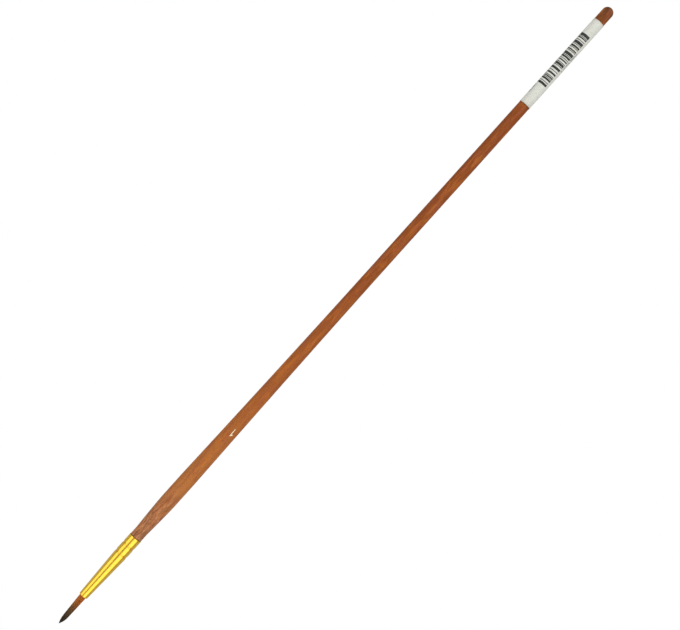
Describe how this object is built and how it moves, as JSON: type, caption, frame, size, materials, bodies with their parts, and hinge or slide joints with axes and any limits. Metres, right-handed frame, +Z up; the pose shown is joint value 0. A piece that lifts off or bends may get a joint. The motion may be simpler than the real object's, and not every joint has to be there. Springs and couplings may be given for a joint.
{
  "type": "fine detail brush",
  "caption": "Long-handled round artist's brush: a small pointed tuft of hair in a tapered, crimped metal ferrule on a turned wooden handle, with a paper label near its round end.",
  "frame": {"origin": "middle of the brush's length, on the surface it lies on, straight below its own axis", "axes": "+X along the brush from the hair tip to the handle's round end, +Z up from the surface it lies on"},
  "size_m": [0.29, 0.0058, 0.0058],
  "materials": {
    "stained_wood": "red-brown stain under satin lacquer",
    "label_paper": "coated white paper with dark printed bars",
    "gold_metal": "bright, finely drawn along its length",
    "cement": "cloudy, set cement",
    "resin": "clear amber resin",
    "thread": "waxed linen thread",
    "hair": "fine hair, orange-brown at the ferrule and almost black at the point"
  },
  "bodies": {
    "brush": {"handle": "stained_wood", "label": "label_paper", "ferrule": "gold_metal", "tenon_cement": "cement", "resin_plug": "resin", "thread_tie": "thread", "hair_root": "hair"},
    "tuft_heel": {"hair_heel": "hair"},
    "tuft_lower_belly": {"hair_lower_belly": "hair"},
    "tuft_upper_belly": {"hair_upper_belly": "hair"},
    "tuft_point": {"hair_point": "hair"}
  },
  "joints": [
    {"name": "tuft_lift", "type": "hinge", "parent": "brush", "child": "tuft_heel", "pos_m": [-0.1334, 0, 0.0029], "axis": [0, 1, 0], "range_deg": [-30, 30], "stiffness_Nm_per_rad": 0.0015},
    {"name": "tuft_sway", "type": "hinge", "parent": "tuft_heel", "child": "tuft_lower_belly", "pos_m": [-0.136, 0, 0.0029], "axis": [0, 0, 1], "range_deg": [-30, 30], "stiffness_Nm_per_rad": 0.0015},
    {"name": "belly_lift", "type": "hinge", "parent": "tuft_lower_belly", "child": "tuft_upper_belly", "pos_m": [-0.1386, 0, 0.0029], "axis": [0, 1, 0], "range_deg": [-30, 30]},
    {"name": "point_sway", "type": "hinge", "parent": "tuft_upper_belly", "child": "tuft_point", "pos_m": [-0.1412, 0, 0.0029], "axis": [0, 0, 1], "range_deg": [-30, 30]}
  ],
  "couplings": [
    {"joint": "belly_lift", "follows": "tuft_lift", "ratio": 1},
    {"joint": "point_sway", "follows": "tuft_sway", "ratio": 1}
  ]
}
